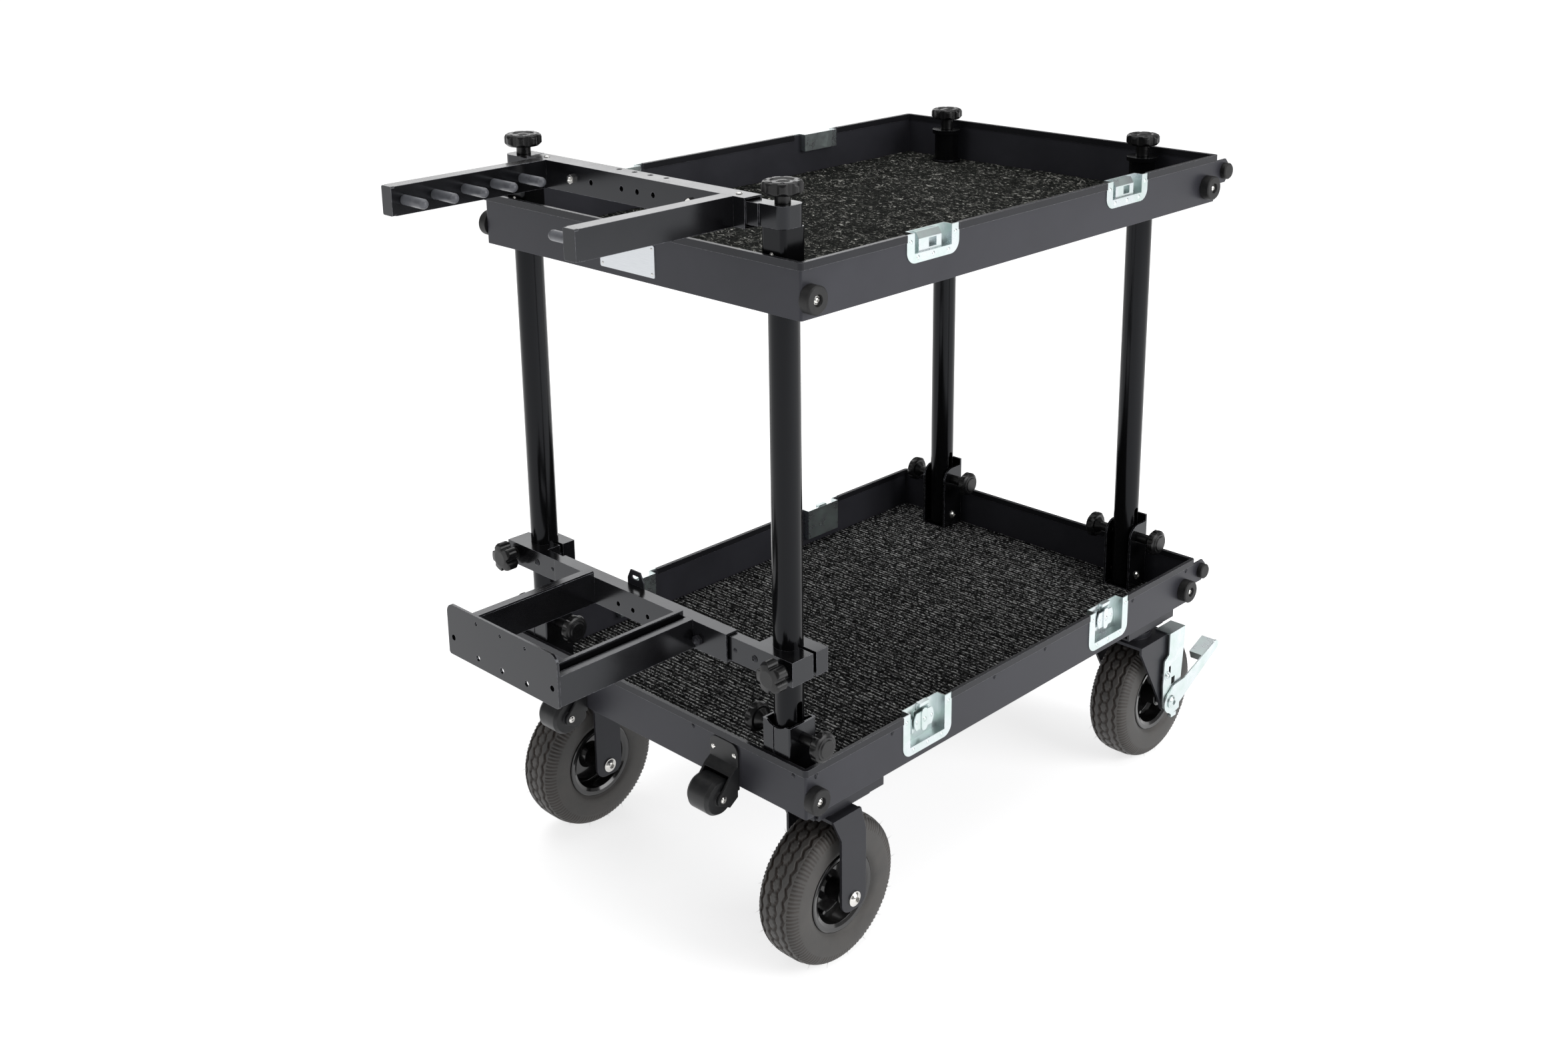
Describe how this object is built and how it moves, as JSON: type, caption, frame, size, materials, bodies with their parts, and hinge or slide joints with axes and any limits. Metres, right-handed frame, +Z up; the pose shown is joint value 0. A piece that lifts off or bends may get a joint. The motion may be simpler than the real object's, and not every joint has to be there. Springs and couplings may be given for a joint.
{
  "type": "two-tier equipment cart",
  "caption": "Two-tier folding equipment cart: carpeted trays on four posts, lift-off upper deck with peg arms, sliding lower bracket, air-filled casters with swivels and brakes.",
  "frame": {"origin": "on the floor, under the middle of the overall box", "axes": "+X along the decks from the bracket end to the braked swivel casters, +Y across the decks, +Z up"},
  "size_m": [1.496, 0.78, 1.3235],
  "materials": {
    "deck_black": "satin black coating",
    "edging_black": "satin black anodised",
    "carpet_ribbed": "ribbed dark grey carpet",
    "carpet_loop": "salt-and-pepper loop carpet",
    "steel_black": "black powder coat",
    "bracket_black": "satin black powder coat",
    "tube_black": "semi-gloss black anodised",
    "zinc": "bluish bright zinc plate",
    "bright_bolt": "bright stainless",
    "bumper_rubber": "matte",
    "roller_plastic": "satin",
    "label_metal": "brushed",
    "peg_clear": "translucent grey",
    "knob_plastic": "satin",
    "tyre_rubber": "dusty brown-black",
    "rim_black": "gloss black"
  },
  "bodies": {
    "base": {"lower_tray": "deck_black", "lower_rim": "edging_black", "lower_carpet": "carpet_ribbed", "deck_rails": "steel_black", "post_brackets": "bracket_black", "posts": "tube_black", "latch_dishes": "zinc", "tray_rivets": "steel_black", "lower_bumpers": "bumper_rubber", "lower_fasteners": "bright_bolt", "front_forks": "steel_black", "roller_housings": "roller_plastic"},
    "upper_deck": {"upper_tray": "deck_black", "upper_rim": "edging_black", "upper_carpet": "carpet_loop", "catch_dishes": "zinc", "post_sockets": "tube_black", "upper_bumpers": "bumper_rubber", "label_plate": "label_metal", "upper_crossbar": "bracket_black", "upper_arms": "bracket_black", "arm_pegs": "peg_clear", "upper_fasteners": "bright_bolt"},
    "lower_bracket": {"lower_crossbar": "bracket_black", "lower_arms": "bracket_black", "bracket_bolts": "steel_black"},
    "wheel_1": {"tyre_1": "tyre_rubber", "rim_1": "rim_black"},
    "wheel_2": {"tyre_2": "tyre_rubber", "rim_2": "rim_black"},
    "caster_3": {"rear_fork_3": "steel_black", "brake_bracket_3": "zinc"},
    "wheel_3": {"tyre_3": "tyre_rubber", "rim_3": "rim_black"},
    "brake_3": {"brake_lever_3": "zinc"},
    "caster_4": {"rear_fork_4": "steel_black", "brake_bracket_4": "zinc"},
    "wheel_4": {"tyre_4": "tyre_rubber", "rim_4": "rim_black"},
    "brake_4": {"brake_lever_4": "zinc"},
    "roller_1": {"roller_1": "roller_plastic"},
    "roller_2": {"roller_2": "roller_plastic"},
    "top_knob_1": {"top_knob_1": "knob_plastic"},
    "top_knob_2": {"top_knob_2": "knob_plastic"},
    "top_knob_3": {"top_knob_3": "knob_plastic"},
    "top_knob_4": {"top_knob_4": "knob_plastic"},
    "side_knobs_1": {"side_knobs_1": "knob_plastic"},
    "side_knobs_2": {"side_knobs_2": "knob_plastic"},
    "side_knobs_3": {"side_knobs_3": "knob_plastic"},
    "side_knobs_4": {"side_knobs_4": "knob_plastic"},
    "star_knob_1": {"star_knob_1": "knob_plastic"},
    "star_knob_2": {"star_knob_2": "knob_plastic"},
    "latch_wing_1": {"latch_wing_1": "zinc"},
    "latch_hook_1": {"latch_hook_1": "zinc"},
    "latch_wing_2": {"latch_wing_2": "zinc"},
    "latch_hook_2": {"latch_hook_2": "zinc"},
    "latch_wing_3": {"latch_wing_3": "zinc"},
    "latch_hook_3": {"latch_hook_3": "zinc"},
    "latch_wing_4": {"latch_wing_4": "zinc"},
    "latch_hook_4": {"latch_hook_4": "zinc"}
  },
  "joints": [
    {"name": "upper_deck_lift", "type": "slide", "parent": "base", "child": "upper_deck", "axis": [0, 0, 1], "range_m": [0, 0.06]},
    {"name": "lower_bracket_slide", "type": "slide", "parent": "base", "child": "lower_bracket", "axis": [0, 0, 1], "range_m": [-0.05, 0.48]},
    {"name": "wheel_1_spin", "type": "hinge", "parent": "base", "child": "wheel_1", "pos_m": [-0.345, -0.308, 0.13], "axis": [0, 1, 0], "continuous": true},
    {"name": "wheel_2_spin", "type": "hinge", "parent": "base", "child": "wheel_2", "pos_m": [-0.345, 0.308, 0.13], "axis": [0, 1, 0], "continuous": true},
    {"name": "caster_3_swivel", "type": "hinge", "parent": "base", "child": "caster_3", "pos_m": [0.533, -0.308, 0.291], "axis": [0, 0, 1], "continuous": true},
    {"name": "wheel_3_spin", "type": "hinge", "parent": "caster_3", "child": "wheel_3", "pos_m": [0.579, -0.308, 0.13], "axis": [0, 1, 0], "continuous": true},
    {"name": "brake_3_press", "type": "hinge", "parent": "caster_3", "child": "brake_3", "pos_m": [0.579, -0.308, 0.13], "axis": [0, 1, 0], "range_deg": [0, 12]},
    {"name": "caster_4_swivel", "type": "hinge", "parent": "base", "child": "caster_4", "pos_m": [0.533, 0.308, 0.291], "axis": [0, 0, 1], "continuous": true},
    {"name": "wheel_4_spin", "type": "hinge", "parent": "caster_4", "child": "wheel_4", "pos_m": [0.579, 0.308, 0.13], "axis": [0, 1, 0], "continuous": true},
    {"name": "brake_4_press", "type": "hinge", "parent": "caster_4", "child": "brake_4", "pos_m": [0.579, 0.308, 0.13], "axis": [0, 1, 0], "range_deg": [0, 12]},
    {"name": "roller_1_spin", "type": "hinge", "parent": "base", "child": "roller_1", "pos_m": [-0.494, -0.192, 0.316], "axis": [0, 1, 0], "continuous": true},
    {"name": "roller_2_spin", "type": "hinge", "parent": "base", "child": "roller_2", "pos_m": [-0.494, 0.192, 0.316], "axis": [0, 1, 0], "continuous": true},
    {"name": "top_knob_1_turn", "type": "hinge", "parent": "upper_deck", "child": "top_knob_1", "pos_m": [-0.423, -0.3035, 1.289], "axis": [0, 0, 1], "continuous": true},
    {"name": "top_knob_2_turn", "type": "hinge", "parent": "upper_deck", "child": "top_knob_2", "pos_m": [-0.423, 0.3035, 1.289], "axis": [0, 0, 1], "continuous": true},
    {"name": "top_knob_3_turn", "type": "hinge", "parent": "upper_deck", "child": "top_knob_3", "pos_m": [0.61, -0.237, 1.205], "axis": [0, 0, 1], "continuous": true},
    {"name": "top_knob_4_turn", "type": "hinge", "parent": "upper_deck", "child": "top_knob_4", "pos_m": [0.61, 0.237, 1.205], "axis": [0, 0, 1], "continuous": true},
    {"name": "side_knobs_1_turn", "type": "hinge", "parent": "base", "child": "side_knobs_1", "pos_m": [-0.423, -0.3035, 0.44], "axis": [0, 1, 0], "continuous": true},
    {"name": "side_knobs_2_turn", "type": "hinge", "parent": "base", "child": "side_knobs_2", "pos_m": [-0.423, 0.3035, 0.44], "axis": [0, 1, 0], "continuous": true},
    {"name": "side_knobs_3_turn", "type": "hinge", "parent": "base", "child": "side_knobs_3", "pos_m": [0.61, -0.237, 0.44], "axis": [0, 1, 0], "continuous": true},
    {"name": "side_knobs_4_turn", "type": "hinge", "parent": "base", "child": "side_knobs_4", "pos_m": [0.61, 0.237, 0.44], "axis": [0, 1, 0], "continuous": true},
    {"name": "star_knob_1_turn", "type": "hinge", "parent": "lower_bracket", "child": "star_knob_1", "pos_m": [-0.472, -0.3335, 0.5705], "axis": [1, 0, 0], "continuous": true},
    {"name": "star_knob_2_turn", "type": "hinge", "parent": "lower_bracket", "child": "star_knob_2", "pos_m": [-0.472, 0.3335, 0.5705], "axis": [1, 0, 0], "continuous": true},
    {"name": "latch_1_turn", "type": "hinge", "parent": "base", "child": "latch_wing_1", "pos_m": [-0.167, -0.372, 0.3835], "axis": [0, 1, 0], "range_deg": [0, 180]},
    {"name": "latch_1_hook", "type": "slide", "parent": "base", "child": "latch_hook_1", "axis": [0, 0, 1], "range_m": [0, 0.008]},
    {"name": "latch_2_turn", "type": "hinge", "parent": "base", "child": "latch_wing_2", "pos_m": [-0.167, 0.372, 0.3835], "axis": [0, 1, 0], "range_deg": [0, 180]},
    {"name": "latch_2_hook", "type": "slide", "parent": "base", "child": "latch_hook_2", "axis": [0, 0, 1], "range_m": [0, 0.008]},
    {"name": "latch_3_turn", "type": "hinge", "parent": "base", "child": "latch_wing_3", "pos_m": [0.357, -0.372, 0.3835], "axis": [0, 1, 0], "range_deg": [0, 180]},
    {"name": "latch_3_hook", "type": "slide", "parent": "base", "child": "latch_hook_3", "axis": [0, 0, 1], "range_m": [0, 0.008]},
    {"name": "latch_4_turn", "type": "hinge", "parent": "base", "child": "latch_wing_4", "pos_m": [0.357, 0.372, 0.3835], "axis": [0, 1, 0], "range_deg": [0, 180]},
    {"name": "latch_4_hook", "type": "slide", "parent": "base", "child": "latch_hook_4", "axis": [0, 0, 1], "range_m": [0, 0.008]}
  ],
  "couplings": [
    {"joint": "latch_1_hook", "follows": "latch_1_turn", "m_per_rad": 0.0025464},
    {"joint": "latch_2_hook", "follows": "latch_2_turn", "m_per_rad": 0.0025464},
    {"joint": "latch_3_hook", "follows": "latch_3_turn", "m_per_rad": 0.0025464},
    {"joint": "latch_4_hook", "follows": "latch_4_turn", "m_per_rad": 0.0025464}
  ]
}
